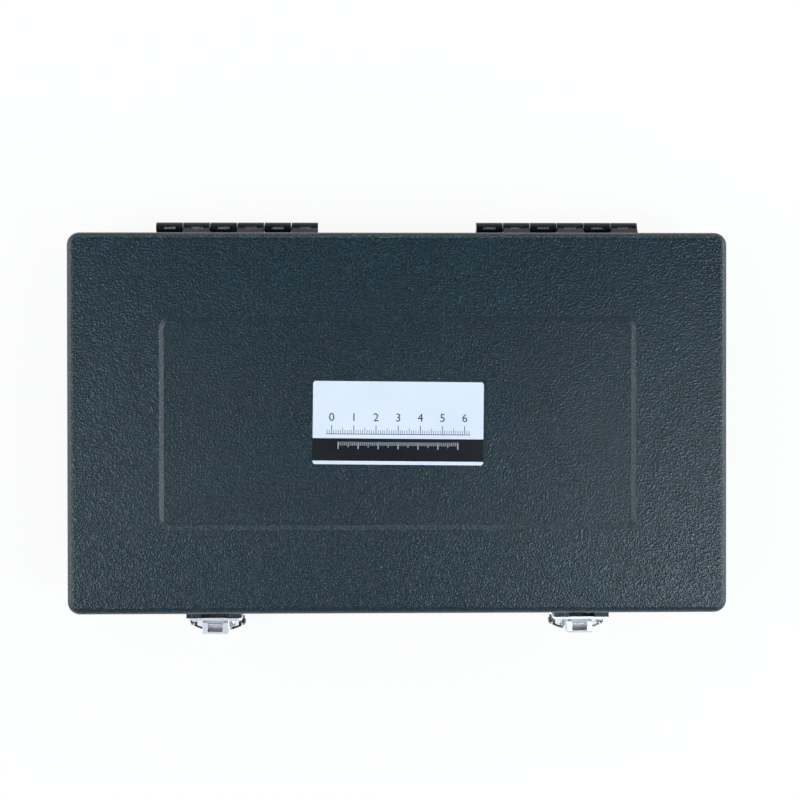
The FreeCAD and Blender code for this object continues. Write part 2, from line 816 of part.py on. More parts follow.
def key_places():
    start = carriage_x + key_right
    return [(start + i * key_pitch, carriage_mid) for i in range(3)]


def carriage_cover():
    """The cover: a shell with bevelled top edges, a framed display opening and round key holes."""
    outer = slab(carriage_length, carriage_width, cover_radius, chassis_top, cover_top, carriage_x, carriage_mid)
    outer = outer.makeChamfer(cover_bevel, level_edges(outer, cover_top))
    inner = slab(carriage_length - 2 * cover_wall, carriage_width - 2 * cover_wall, cover_radius - cover_wall,
                 chassis_top - 1, cover_top - cover_wall, carriage_x, carriage_mid)
    body = outer.cut(inner)
    bosses = []
    for x, y in carriage_corners(post_margin):
        bosses.append(upright(x, y, board_top, cover_top - 1, post_radius))
    body = fuse([body] + bosses)
    opening_z = cover_top - cover_wall - 1
    half_arm = arm_width / 2 + arm_gap
    holes = [
        slab(display_length, display_depth, 1.5, opening_z, cover_top + 1, display_x, carriage_mid),
        slab(display_length + display_frame, display_depth + display_frame, 2.2, cover_top - window_thickness,
             cover_top + 1, display_x, carriage_mid),
        box(carriage_x - carriage_length, carriage_x + carriage_length, arm_y - half_arm, arm_y + half_arm,
            arm_bottom - arm_gap, arm_bottom + arm_height + arm_gap),
        cylinder((clamp_x, carriage_mid - carriage_width, arm_bottom + arm_height / 2), (0, 1, 0),
                 clamp_radius + side_gap, carriage_width / 2 + cover_wall + 1),
    ]
    for x, y in key_places():
        holes.append(upright(x, y, opening_z, cover_top + 1, key_radius + key_gap))
    for x, y in carriage_corners(post_margin):
        holes.append(upright(x, y, board_top - 1, cover_top + 1, screw_radius + screw_gap))
    return cut(body, holes)


def cover_screws():
    """Four slotted screws through the cover and board into the frame's posts."""
    made = []
    head_top = cover_top + screw_head_height
    for x, y in carriage_corners(post_margin):
        shank = upright(x, y, board_bottom - screw_length, cover_top, screw_radius)
        profile = [(screw_head, 0), (screw_head, screw_head_height / 2), (screw_head / 2, screw_head_height)]
        head = spindle((x, y, cover_top), (0, 0, 1), profile)
        slot = box(x - screw_head, x + screw_head, y - screw_slot / 2, y + screw_slot / 2,
                   head_top - screw_slot, head_top + 1)
        made.append(fuse([shank, head]).cut(slot))
    return made


def display_window():
    """The clear window, let into the cover flush with its top."""
    return slab(display_length + display_frame, display_depth + display_frame, 2.2,
                cover_top - window_thickness, cover_top, display_x, carriage_mid)


def lcd_panel():
    return slab(display_length + 2, display_depth + 2, 0.5, board_top, board_top + panel_thickness,
                display_x, carriage_mid)


def circuit_board():
    margin = cover_wall + 0.5
    board = slab(carriage_length - 2 * margin, carriage_width - 2 * margin, 1.0, board_bottom, board_top,
                 carriage_x, carriage_mid)
    holes = [upright(x, y, board_bottom - 1, board_top + 1, screw_radius + screw_gap)
             for x, y in carriage_corners(post_margin)]
    return cut(board, holes)


def key(index):
    """A round key with a bevelled crown, held under the cover by its flange."""
    x, y = key_places()[index]
    low = board_top + key_travel + key_gap
    top = cover_top + key_travel + key_stand
    bevel = key_stand
    profile = [(key_radius, low), (key_radius, top - bevel), (key_radius - bevel, top)]
    stem = spindle((x, y, 0), (0, 0, 1), profile, small_sides)
    flange = upright(x, y, low, cover_top - cover_wall - 0.2, key_radius + 0.9)
    return fuse([stem, flange])


def battery_cap():
    """The screwed cap under the cells, with a coin slot."""
    cap = upright(cell_x, cell_y, chassis_bottom, chassis_top - cap_gap, cell_radius)
    slot = box(cell_x - 6, cell_x + 6, cell_y - 0.8, cell_y + 0.8, chassis_bottom - 1, chassis_bottom + 1.2)
    return cap.cut(slot)


def coin_cells():
    made = []
    for i in range(2):
        z0 = chassis_top + i * cell_thickness
        made.append(upright(cell_x, cell_y, z0, z0 + cell_thickness - 0.05, cell_radius))
    return made


def battery_contact():
    """A spring plate on the top cell, with a leg up to the board."""
    low = chassis_top + 2 * cell_thickness
    disc = upright(cell_x, cell_y, low, low + 0.4, 5.0)
    leg = box(cell_x - 1.5, cell_x + 1.5, cell_y + 2.0, cell_y + 2.5, low, board_bottom)
    return fuse([disc, leg])


def measuring_wheel():
    """A steel wheel with a narrow bevelled rim on a thin web, and a long hub."""
    web = wheel_web / 2
    edge = web / 2
    profile = [(0, -web), (wheel_radius - web, -web), (wheel_radius, -edge), (wheel_radius, edge),
               (wheel_radius - web, web), (0, web)]
    wire = Part.makePolygon([Vector(wheel_x + a, axle_y, axle_z + r) for r, a in profile + profile[:1]])
    disc = Part.Face(wire).revolve(Vector(wheel_x, axle_y, axle_z), Vector(1, 0, 0), 360)
    half = wheel_width / 2
    hub = along_x(wheel_x - half, wheel_x + half, axle_y, axle_z, wheel_hub)
    bore = along_x(wheel_x - half - 1, wheel_x + half + 1, axle_y, axle_z, axle_radius)
    return fuse([disc, hub]).cut(bore)


def turned_z(profile, x, y, z):
    """A solid turned about an upright line, from (radius, height) corners."""
    wire = Part.makePolygon([Vector(x + r, y, z + h) for r, h in profile + profile[:1]])
    return Part.Face(wire).revolve(Vector(x, y, z), Vector(0, 0, 1), 360)


def wheel_axle():
    reach = bearing_length / 2
    return along_x(left_bearing_x - reach, right_bearing_x + reach, axle_y, axle_z, axle_radius)


def encoder_disc():
    disc = along_x(encoder_x - encoder_thickness / 2, encoder_x + encoder_thickness / 2, axle_y, axle_z,
                   encoder_radius)
    hub = along_x(encoder_x - 1.6, encoder_x + 1.6, axle_y, axle_z, encoder_hub)
    bore = along_x(encoder_x - 3, encoder_x + 3, axle_y, axle_z, axle_radius)
    return fuse([disc, hub]).cut(bore)


def encoder_sensor():
    """A fork under the board that straddles the encoder disc."""
    low = axle_z + encoder_radius / 2
    block = box(encoder_x - 3.0, encoder_x + 3.0, axle_y - 3.0, axle_y + 3.0, low, board_bottom)
    slot = box(encoder_x - 1.0, encoder_x + 1.0, axle_y - 4.0, axle_y + 4.0, low - 1,
               axle_z + encoder_radius + 0.8)
    return block.cut(slot)


def axle_bearings():
    made = []
    for x in (left_bearing_x, right_bearing_x):
        bush = along_x(x - bearing_length / 2, x + bearing_length / 2, axle_y, axle_z, bearing_radius)
        bore = along_x(x - bearing_length, x + bearing_length, axle_y, axle_z, axle_radius + running_gap)
        made.append(bush.cut(bore))
    return made


def support_roller():
    """The roller that carries the carriage's other end, with a rounded tread."""
    half = roller_width / 2
    bevel = roller_radius / 5
    profile = [(roller_radius - bevel, 0), (roller_radius, bevel), (roller_radius, roller_width - bevel),
               (roller_radius - bevel, roller_width)]
    body = spindle((roller_x - half, arm_y, roller_z), (1, 0, 0), profile, small_sides)
    bore = along_x(roller_x - half - 1, roller_x + half + 1, arm_y, roller_z, roller_axle_radius + running_gap)
    return body.cut(bore)


def roller_axle():
    return along_x(roller_x - roller_reach, roller_x + roller_reach, arm_y, roller_z, roller_axle_radius)


def tracer_arm():
    bar = box(arm_left + lens_radius + 1, arm_right, arm_y - arm_width / 2, arm_y + arm_width / 2, arm_bottom,
              arm_bottom + arm_height)
    ends = [e for e in bar.Edges if e.BoundBox.ZLength > arm_height / 2]
    bar = bar.makeChamfer(1.0, ends)
    pin_hole = upright(grip_x, arm_y, arm_bottom - 1, arm_bottom + arm_height + 1, grip_pin)
    return bar.cut(pin_hole)


def clamp_screw():
    """A fluted thumb screw that clamps the arm in its sleeve."""
    z = arm_bottom + arm_height / 2
    tip = arm_y - arm_width / 2 - sleeve_gap
    knob_inner = carriage_mid - carriage_width / 2 - 0.8
    knob_outer = knob_inner - clamp_knob_length
    shank = cylinder((clamp_x, knob_inner, z), (0, 1, 0), clamp_radius, tip - knob_inner)
    outline = []
    flutes = 12
    for i in range(2 * flutes):
        angle = math.pi * i / flutes
        radius = clamp_knob_radius - (i % 2) * clamp_flute
        outline.append(Vector(clamp_x + radius * math.cos(angle), knob_outer, z + radius * math.sin(angle)))
    knob = Part.Face(Part.makePolygon(outline + outline[:1])).extrude(Vector(0, clamp_knob_length, 0))
    return fuse([knob, shank])


def tracer_ring():
    """The lens holder, with a neck that runs back under the arm."""
    outer = upright(arm_left, arm_y, ring_bottom, ring_bottom + ring_height, lens_radius + ring_wall)
    root = arm_left + lens_radius - 0.5
    end = arm_left + neck_length
    shelf = arm_bottom - neck_thickness
    neck = profile_y([(root, lens_bottom), (root + 6.5, lens_bottom), (arm_left + 20, shelf), (end, shelf),
                      (end, arm_bottom), (root + 3.5, arm_bottom), (root, ring_bottom + ring_height)],
                     arm_y - arm_width / 2, arm_y + arm_width / 2)
    body = fuse([outer, neck])
    seat = upright(arm_left, arm_y, lens_bottom, arm_bottom, lens_radius)
    sight = upright(arm_left, arm_y, ring_bottom - 1, lens_bottom + 1, lens_radius - 1.0)
    grip_hole = upright(grip_x, arm_y, shelf - 1, arm_bottom + 1, grip_pin)
    return cut(body, [seat, sight, grip_hole])


def profile_y(points, y0, y1):
    """A prism along Y from (x, z) corners."""
    wire = Part.makePolygon([Vector(x, y0, z) for x, z in points + points[:1]])
    return Part.Face(wire).extrude(Vector(0, y1 - y0, 0))


def tracer_lens():
    """A magnifying lens, flat below and crowned above."""
    crown = lens_edge + lens_rise
    profile = [(0, 0), (lens_radius, 0), (lens_radius, lens_edge), (lens_radius * 0.6, lens_edge + lens_rise * 0.65),
               (0, crown)]
    return turned_z(profile, arm_left, arm_y, lens_bottom)


def tracer_grip():
    """The finger grip: a waisted knob on a pin through the arm."""
    top = arm_bottom + arm_height
    waist = grip_radius - 1.0
    profile = [(grip_radius, 0), (waist, 2.5), (waist, 6.0), (grip_radius, 8.5), (waist, 9.5)]
    knob = spindle((grip_x, arm_y, top), (0, 0, 1), profile, small_sides)
    pin = upright(grip_x, arm_y, arm_bottom - neck_thickness, top + 1, grip_pin)
    return fuse([knob, pin])


def pole_arm():
    """The pole arm: a flat bar with a round eye on the weight's screw and a ball foot at the far end."""
    z0 = pole_arm_bottom
    z1 = z0 + pole_arm_thickness
    eye = upright(pole_weight_x, pole_mid, z0, z1, pole_arm_width)
    bar = box(pole_weight_x, pole_arm_right, pole_mid - pole_arm_width / 2, pole_mid + pole_arm_width / 2, z0, z1)
    tip = upright(pole_arm_right, pole_mid, z0, z1, pole_arm_width / 2)
    stem = upright(pole_arm_right, pole_mid, z0 - ball_drop, z0 + 1, ball_radius / 2)
    turns = [math.radians(a) for a in (-60, -30, 0, 30, 60)]
    profile = [(ball_radius * math.cos(a), ball_radius * math.sin(a)) for a in turns]
    ball = spindle((pole_arm_right, pole_mid, z0 - ball_drop), (0, 0, 1), profile)
    bore = upright(pole_weight_x, pole_mid, z0 - 1, z1 + 1, pole_screw_radius + running_gap)
    return fuse([eye, bar, tip, stem, ball]).cut(bore)


def pole_weight():
    """A turned brass weight with bevelled shoulders, bored for its screw and its needle."""
    r = pole_weight_radius
    h = pole_weight_height
    profile = [(0, 0), (r - 1.2, 0), (r, 1.2), (r, h - 2.0), (r - 2.0, h), (0, h)]
    body = turned_z(profile, pole_weight_x, pole_mid, pole_weight_bottom)
    screw_hole = upright(pole_weight_x, pole_mid, pole_weight_top - pole_screw_depth, pole_weight_top + 1,
                         pole_screw_radius)
    needle_hole = upright(pole_weight_x, pole_mid, pole_weight_bottom - 1, pole_weight_bottom + needle_depth,
                          needle_radius)
    return cut(body, [screw_hole, needle_hole])


def pole_needle():
    """The needle under the weight, which is set into the drawing board."""
    profile = [(needle_radius / 6, -needle_point), (needle_radius, 0), (needle_radius, needle_depth)]
    return spindle((pole_weight_x, pole_mid, pole_weight_bottom), (0, 0, 1), profile)


def pole_pivot_screw():
    """A slotted screw that holds the arm's eye on the weight."""
    seat = pole_arm_bottom + pole_arm_thickness + side_gap
    shank = upright(pole_weight_x, pole_mid, pole_weight_top - pole_screw_depth, seat + 1, pole_screw_radius)
    profile = [(pole_screw_head, 0), (pole_screw_head, 1.2), (pole_screw_head - 0.6, 1.8)]
    head = spindle((pole_weight_x, pole_mid, seat), (0, 0, 1), profile, small_sides)
    reach = pole_screw_head + 1
    slot = box(pole_weight_x - reach, pole_weight_x + reach, pole_mid - 0.4, pole_mid + 0.4, seat + 1.1, seat + 3)
    return fuse([shank, head]).cut(slot)


def test_rule():
    """The check strip, with a pin hole at each end of its test radius."""
    plate = slab(rule_length, rule_width, 2.0, rule_floor, rule_floor + rule_thickness, rule_x, rule_mid)
    reach = rule_length / 2 - rule_margin
    holes = [upright(rule_x + side * reach, rule_mid, rule_floor - 1, rule_floor + 2 * rule_thickness, rule_hole)
             for side in (-1, 1)]
    return cut(plate, holes)


os.makedirs("parts", exist_ok=True)
save("base_shell", base_shell())
save("lid_shell", lid_shell())
save("label_plate", label_plate())
save("lid_pad", lid_pad())
save("tray", tray())
for side, word in ((-1, "left"), (1, "right")):
    save("hinge_pin_" + word, hinge_pin(side))
    save("strike_plate_" + word, strike_plate(side))
    save("strike_rivets_" + word, rivets(side, strike_rivet_z))
    save("latch_plate_" + word, latch_plate(side))
    save("latch_rivets_" + word, rivets(side, latch_rivet_z))
    save("latch_lever_" + word, latch_lever(side))
    save("lever_pivots_" + word, lever_pivots(side))
    save("latch_claw_" + word, latch_claw(side))
    save("claw_pin_" + word, claw_pin(side))
save("carriage_frame", carriage_frame())
save("carriage_cover", carriage_cover())
save("cover_screws", cover_screws())
save("display_window", display_window())
save("lcd_panel", lcd_panel())
save("circuit_board", circuit_board())
for i, word in enumerate(("power", "clear", "hold")):
    save("key_" + word, key(i))
save("battery_cap", battery_cap())
save("coin_cells", coin_cells())
save("battery_contact", battery_contact())
save("measuring_wheel", measuring_wheel())
save("wheel_axle", wheel_axle())
save("encoder_disc", encoder_disc())
save("encoder_sensor", encoder_sensor())
save("axle_bearings", axle_bearings())
save("support_roller", support_roller())
save("roller_axle", roller_axle())
save("tracer_arm", tracer_arm())
save("clamp_screw", clamp_screw())
save("tracer_ring", tracer_ring())
save("tracer_lens", tracer_lens())
save("tracer_grip", tracer_grip())
save("pole_arm", pole_arm())
save("pole_weight", pole_weight())
save("pole_needle", pole_needle())
save("pole_pivot_screw", pole_pivot_screw())
save("test_rule", test_rule())
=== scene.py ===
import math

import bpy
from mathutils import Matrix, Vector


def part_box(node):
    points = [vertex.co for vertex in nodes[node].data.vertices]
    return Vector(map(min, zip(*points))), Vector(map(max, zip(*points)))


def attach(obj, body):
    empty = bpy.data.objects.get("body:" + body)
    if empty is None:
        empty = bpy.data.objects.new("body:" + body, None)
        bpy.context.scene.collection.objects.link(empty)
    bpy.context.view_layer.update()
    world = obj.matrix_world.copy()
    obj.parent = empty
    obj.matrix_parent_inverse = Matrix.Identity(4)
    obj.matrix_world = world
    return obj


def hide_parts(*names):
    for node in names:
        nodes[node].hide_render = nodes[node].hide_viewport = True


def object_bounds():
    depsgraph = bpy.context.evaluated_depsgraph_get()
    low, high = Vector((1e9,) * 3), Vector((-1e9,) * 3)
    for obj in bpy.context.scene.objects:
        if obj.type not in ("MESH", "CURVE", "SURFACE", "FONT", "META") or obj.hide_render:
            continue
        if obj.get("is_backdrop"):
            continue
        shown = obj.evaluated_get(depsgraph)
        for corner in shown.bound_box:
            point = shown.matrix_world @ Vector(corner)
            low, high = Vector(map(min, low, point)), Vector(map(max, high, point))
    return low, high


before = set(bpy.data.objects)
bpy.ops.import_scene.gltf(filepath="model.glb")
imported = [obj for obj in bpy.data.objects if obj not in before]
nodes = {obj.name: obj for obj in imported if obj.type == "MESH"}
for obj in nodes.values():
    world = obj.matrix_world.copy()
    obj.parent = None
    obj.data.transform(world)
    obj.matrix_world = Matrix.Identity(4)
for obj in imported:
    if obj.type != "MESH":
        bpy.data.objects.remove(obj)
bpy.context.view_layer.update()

# %% [markdown]
# # A planimeter in its moulded carrying case
#
# The object is a flat, dark teal plastic case with a sunk panel and a label plate on its lid, two
# knuckle hinges behind and two chromed draw latches in front. A digital polar planimeter lies in a
# tray inside. This lesson gives each piece its finish, and models the few pieces that a solid model
# leaves plain: the foam under the lid, the display's digits and the printed numbers.

MM = 0.001
lid_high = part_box("lid_shell")[1]
label_low, label_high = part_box("label_plate")
label_middle = (label_low + label_high) / 2
print("lid top at", round(lid_high.z / MM, 2), "mm")

# %% [markdown]
# ## Sums on shader sockets
#
# A procedural finish is mostly arithmetic on patterns. Written as nodes and links, one line of
# arithmetic takes ten lines of code, so a small class wraps a socket and lets Python's own
# operators add the Math nodes. A second class holds one node tree and has the one method that
# makes any other node, and a third starts from a new material.


# %% A socket that can be added, multiplied and compared
class Wire:
    """One output socket of a shader node. a * b + 1 on wires adds the Math nodes for it."""

    def __init__(self, board, socket):
        self.board = board
        self.socket = socket

    def sum(self, operation, *values):
        return self.board.node("ShaderNodeMath", {"operation": operation}, *values)

    def __add__(self, other):
        return self.sum("ADD", self, other)

    __radd__ = __add__

    def __sub__(self, other):
        return self.sum("SUBTRACT", self, other)

    def __rsub__(self, other):
        return self.sum("SUBTRACT", other, self)

    def __mul__(self, other):
        return self.sum("MULTIPLY", self, other)

    __rmul__ = __mul__

    def __gt__(self, other):
        return self.sum("GREATER_THAN", self, other)

    def __lt__(self, other):
        return self.sum("LESS_THAN", self, other)

    def size(self):
        return self.sum("ABSOLUTE", self)

    def either(self, other):
        """The larger of the two, which joins masks of 0 and 1."""
        return self.sum("MAXIMUM", self, other)

    def repeat(self, step):
        """The remainder after whole steps, always from 0 to step."""
        return self.sum("FLOORED_MODULO", self, step)

    def near_step(self, step, width):
        """1 where the value lies within width / 2 of a whole number of steps."""
        return (self + step / 2).repeat(step).within(step / 2, width)

    def within(self, middle, width):
        """1 where the value lies within width / 2 of middle."""
        return (self - middle).size() < width / 2

    def between(self, low, high):
        """0 at low, 1 at high and beyond, and a straight ramp from one to the other."""
        return self.board.node("ShaderNodeMapRange", {"clamp": True}, self, low, high, 0.0, 1.0)


# %% A board that nodes are wired on
class Board:
    """One node tree, with the method that adds nodes to it."""

    def __init__(self, tree):
        self.tree = tree
        self.place = None

    def join(self, value, socket):
        if isinstance(value, Wire):
            self.tree.links.new(value.socket, socket)
        else:
            socket.default_value = value

    def node(self, kind, settings=None, *values, output=0, **named):
        """Adds a node, gives it its settings first and then its inputs, and returns one output."""
        made = self.tree.nodes.new(kind)
        for key, value in (settings or {}).items():
            setattr(made, key, value)
        for i, value in enumerate(values):
            self.join(value, made.inputs[i])
        for key, value in named.items():
            self.join(value, made.inputs[key.replace("_", " ")])
        return Wire(self, made.outputs[output])

    def position(self):
        """Where a point is on the object, in metres."""
        if self.place is None:
            self.place = self.node("ShaderNodeTexCoord", output="Object")
        return self.place

    def axes(self, place=None):
        """The x, y and z of a place, as three wires."""
        split = self.node("ShaderNodeSeparateXYZ", None, place or self.position())
        return [Wire(self, socket) for socket in split.socket.node.outputs]

    def noise(self, size, detail=2.0, roughness=0.5, place=None):
        """Soft cloudy noise whose blotches are about size metres across."""
        return self.node("ShaderNodeTexNoise", None, Vector=place or self.position(), Scale=1 / size,
                         Detail=detail, Roughness=roughness)

    def cells(self, size):
        """Distance to the nearest point of a scatter with cells about size metres across."""
        return self.node("ShaderNodeTexVoronoi", {"feature": "F1"}, Vector=self.position(), Scale=1 / size)

    def stretched(self, x, y, z):
        """The position with each axis multiplied, so that a pattern is drawn out along the small ones."""
        return self.node("ShaderNodeMapping", None, Vector=self.position(), Scale=(x, y, z))

    def mix(self, share, first, second):
        """One colour turning into another as share goes from 0 to 1."""
        made = self.tree.nodes.new("ShaderNodeMix")
        made.data_type = "RGBA"
        for value, socket in ((share, made.inputs[0]), (first, made.inputs[6]), (second, made.inputs[7])):
            if isinstance(value, tuple):
                value = (*value, 1.0)
            self.join(value, socket)
        return Wire(self, made.outputs[2])

    def seen(self, *kinds):
        """1 on light paths of the kinds given, such as camera rays."""
        paths = self.tree.nodes.new("ShaderNodeLightPath")
        share = Wire(self, paths.outputs[kinds[0]])
        for kind in kinds[1:]:
            share = share.either(Wire(self, paths.outputs[kind]))
        return share


# %% A material under construction
class Finish(Board):
    """A new material with a Principled shader."""

    def __init__(self, name, colour=(0.5, 0.5, 0.5), roughness=0.5, metallic=0.0):
        self.material = bpy.data.materials.new(name)
        self.material.use_nodes = True
        super().__init__(self.material.node_tree)
        self.shader = self.tree.nodes["Principled BSDF"]
        self.set("Base Color", (*colour, 1.0))
        self.set("Roughness", roughness)
        self.set("Metallic", metallic)

    def set(self, socket, value):
        self.join(value, self.shader.inputs[socket])

    def bump(self, height, depth, strength=1.0):
        """Raises and sinks the surface by height times depth metres."""
        self.set("Normal", self.node("ShaderNodeBump", None, Strength=strength, Distance=depth,
                                     Height=height))


# %% Colours and who gets them
def tint(red, green, blue):
    """A colour as a picture shows it, 0 to 255, turned into the linear values that light uses."""
    def linear(c):
        c = c / 255
        return c / 12.92 if c <= 0.04045 else ((c + 0.055) / 1.055) ** 2.4
    return tuple(linear(c) for c in (red, green, blue))


def darker(colour, share):
    return tuple(c * share for c in colour)


def give(finish, *names):
    """Puts a finish on CAD nodes."""
    for name in names:
        slots = nodes[name].data.materials
        slots.clear()
        slots.append(finish.material)
    print(finish.material.name, "on", len(names), "nodes")


# %% [markdown]
# ## The case: grained moulded plastic
#
# The tool that moulds such a case has an etched surface, so the plastic comes out with a fine
# leathery grain of small pits and ridges, a little under a millimetre across. The ridges catch the
# light, and this is also painted into the colour: painted highlight on the ridges and painted shade in
# the pits turn a plain dark teal into a fine speckle. Distance to the nearest point of a scatter gives
# pits with ridges between them, and a soft noise keeps the cells from looking like a grid. The same
# pattern drives the bump, the colour and the gloss, so a ridge is higher, lighter by painted highlight
# and shinier than a pit. The hinge knuckles come from a polished part of the tool, so behind the back
# wall the grain all but ends; there the colour is painted nearly black, as painted shade.

# %% The teal moulding
GRAIN = 0.8 * MM
GRAIN_DEPTH = 0.26 * MM
KNUCKLE_REACH = 5.7 * MM
WALL_MARGIN = 0.3 * MM
back_wall = lid_high.y - KNUCKLE_REACH
teal = Finish("teal moulding", roughness=0.3)
x, y, z = teal.axes()
pits = teal.cells(GRAIN)
ripple = teal.noise(GRAIN * 0.8, detail=2.0, roughness=0.6)
cloud = teal.noise(0.05, detail=2.0)
# mask of the hinge knuckles behind the back wall, which are left smooth and get painted shade
shaded_smooth_knuckles = y > back_wall + WALL_MARGIN
grain = pits * 0.7 + ripple * 0.6
# painted highlight and painted shade: speck makes the ridges lighter and the pits darker in colour
speck = (pits + ripple - 0.5).between(0.3, 0.85)
shade = teal.mix(cloud.between(0.3, 0.7), tint(1, 11, 16), tint(2, 14, 19))
ridge_highlight = teal.mix(cloud.between(0.3, 0.7), tint(25, 52, 64), tint(29, 57, 69))
# the speckle follows the grain; its light ridges are painted highlight and its dark pits painted shade
skin = teal.mix(speck, shade, ridge_highlight)
# painted shade: the knuckles are painted nearly black in place of the teal grain
teal.set("Base Color", teal.mix(shaded_smooth_knuckles, skin, tint(8, 12, 15)))
teal.set("Roughness", (1 - speck) * 0.14 + 0.20)
teal.bump(grain * (1 - shaded_smooth_knuckles * 0.9), GRAIN_DEPTH, 0.7)
give(teal, "base_shell", "lid_shell")

# %% [markdown]
# ## Metals
#
# The latches are plated: their rivets are polished, their claws and upper plates are satin. The
# hinge pins are zinc plated, small turned parts are ground steel, the bearings and the pivot and
# clamp screws are brass, the instrument's frame is a blasted casting, and the arms are drawn alloy
# with a grain along their length. All are the same idea: a metallic shader whose roughness wanders a
# little, with fine scratches as bump. One maker has the colour, the roughness, how far it wanders and
# the size of the scratches as its arguments, and a Mapping node draws the scratches out along a bar.


# %% A metal maker
SCRATCH_DEPTH = 0.02 * MM
DRAWN = (0.05, 1, 1)


def metal(name, colour, roughness, wear, grain_size, along=(1, 1, 1)):
    finish = Finish(name, colour=colour, roughness=roughness, metallic=1.0)
    smear = finish.noise(0.004, detail=3.0)
    fine = finish.noise(grain_size, detail=2.0, place=finish.stretched(*along))
    finish.set("Roughness", smear * wear + (roughness - wear / 2))
    finish.set("Base Color", finish.mix(smear.between(0.3, 0.8), colour, darker(colour, 0.86)))
    finish.bump(fine, SCRATCH_DEPTH, 0.35)
    return finish


# %% Plated, ground, turned and cast metals
chrome = metal("bright plating", tint(232, 233, 238), 0.10, 0.10, 0.0006)
steel = metal("ground steel", tint(206, 208, 210), 0.40, 0.12, 0.0004)
pin_steel = metal("zinc plated pin", tint(252, 252, 254), 0.5, 0.10, 0.0004)
satin_chrome = metal("satin plating", tint(240, 240, 246), 0.42, 0.10, 0.0006)
brass = metal("lacquered brass", tint(214, 176, 102), 0.36, 0.12, 0.0005)
alloy = metal("satin alloy", tint(208, 210, 213), 0.50, 0.10, 0.0003, along=DRAWN)
casting = metal("blasted casting", tint(146, 149, 152), 0.5, 0.12, 0.0005)
give(chrome, *[n for n in nodes if n.startswith(("strike_rivets", "latch_rivets", "lever_"))])
give(satin_chrome, "latch_claw_left", "latch_claw_right", "strike_plate_left", "strike_plate_right")
give(pin_steel, "hinge_pin_left", "hinge_pin_right")
give(steel, "claw_pin_left", "claw_pin_right", "cover_screws", "wheel_axle", "support_roller",
     "roller_axle", "pole_needle", "coin_cells")
give(brass, "pole_pivot_screw", "clamp_screw", "axle_bearings", "battery_contact")
give(alloy, "tracer_ring", "pole_arm")
give(casting, "carriage_frame")

# %% [markdown]
# ## Painted shade in the latches
#
# Each lever and the plate under it are painted dark where the claw works: painted shade, where the
# claw and the case wall keep the light off, so the opening in the claw looks dark from above. The
# patch is a mask on two coordinates: near the middle of a latch, left or right, and above the height
# where the claw ends. Taking the size of x first makes one mask serve both latches.

# %% Plating with painted shade
PLATING = tint(226, 227, 232)
lever_low, lever_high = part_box("latch_lever_right")
latch_x = (lever_low.x + lever_high.x) / 2
plating_with_painted_shade = metal("plating with painted shade", PLATING, 0.12, 0.10, 0.0006)
x, y, z = plating_with_painted_shade.axes()
# painted shade: mask of the plating inside each claw's opening, above the claw's top
painted_claw_shade = (x.size() - latch_x).size().between(6.4 * MM, 4.8 * MM) * z.between(11 * MM, 13 * MM)
# the plating turns nearly black under the mask, as painted shade
plating_with_painted_shade.set("Base Color", plating_with_painted_shade.mix(painted_claw_shade, PLATING, tint(24, 24, 28)))
plating_with_painted_shade.set("Roughness", painted_claw_shade * 0.2 + 0.12)
give(plating_with_painted_shade, "latch_lever_left", "latch_lever_right", "latch_plate_left", "latch_plate_right")

# %% [markdown]
# ## Plastics and the board
#
# Inside the case are several more mouldings. Each gets its own colour, a faint mottle and a fine
# surface, so that none is one flat colour. A maker like the one for metals saves writing the same
# noise and bump for each of them.


# %% A plastic maker
def plastic(name, colour, roughness, grain_size=0.0005, depth=0.00003):
    finish = Finish(name, colour=colour, roughness=roughness)
    mottle = finish.noise(0.01, detail=3.0)
    fine = finish.noise(grain_size, detail=2.0)
    finish.set("Base Color", finish.mix(mottle.between(0.3, 0.7), colour, darker(colour, 0.85)))
    finish.set("Roughness", fine * 0.1 + (roughness - 0.05))
    finish.bump(fine, depth, 0.4)
    return finish


# %% Tray, housing, keys and board
tray_black = plastic("tray moulding", tint(44, 46, 50), 0.6, 0.0009, 0.00006)
housing_grey = plastic("housing moulding", tint(200, 202, 198), 0.45, 0.0006, 0.00004)
black = plastic("black moulding", tint(26, 26, 28), 0.45)
key_dark = plastic("dark key", tint(58, 61, 66), 0.6)
key_bright = plastic("red key", tint(168, 44, 34), 0.55)
board_green = plastic("board lacquer", tint(16, 74, 40), 0.35)
give(tray_black, "tray")
give(housing_grey, "carriage_cover")
give(black, "battery_cap", "encoder_disc", "encoder_sensor", "tracer_grip")
give(key_dark, "key_clear", "key_hold")
give(key_bright, "key_power")
give(board_green, "circuit_board")

# %% [markdown]
# ## Clear plastic and lens glass
#
# The window over the display and the tracing lens are seen through. Both are a Principled shader
# with full transmission, set on the shader's own socket, and only the roughness wanders a little,
# like wiped plastic. The liquid crystal under the window is a grey-green sheet.


# %% Window, lens and display
def see_through(name, colour, haze):
    finish = Finish(name, colour=colour, roughness=haze)
    finish.set("Transmission Weight", 1.0)
    finish.set("Roughness", finish.noise(0.005) * haze)
    return finish


give(see_through("clear window", tint(240, 244, 244), 0.05), "display_window")
give(see_through("polished lens", tint(244, 249, 250), 0.02), "tracer_lens")
crystal = plastic("liquid crystal", tint(152, 162, 142), 0.3)
give(crystal, "lcd_panel")

# %% [markdown]
# ## Graduations
#
# Lines cut in metal and filled with black are a repeat in one coordinate: every whole step has a
# thin line, every fifth a longer one and every tenth the longest. One helper returns that mask for a
# distance along the scale and a distance across it. The same helper serves the tracer arm, the test
# rule, the label and, with an angle as the distance along, the rim of the measuring wheel. Modelled
# lines would need thousands of faces, and a picture file isn't allowed, so a mask is the light way.


# %% A scale as a mask
def scale_lines(along, across, step, line, lengths):
    """1 on the graduations: lines every step, longer at each fifth and tenth, from across = 0 up."""
    short, middle, long = lengths
    on_scale = across > 0.0
    every = along.near_step(step, line) * (across < short)
    fifth = along.near_step(step * 5, line) * (across < middle)
    tenth = along.near_step(step * 10, line * 1.4) * (across < long)
    return every.either(fifth).either(tenth) * on_scale


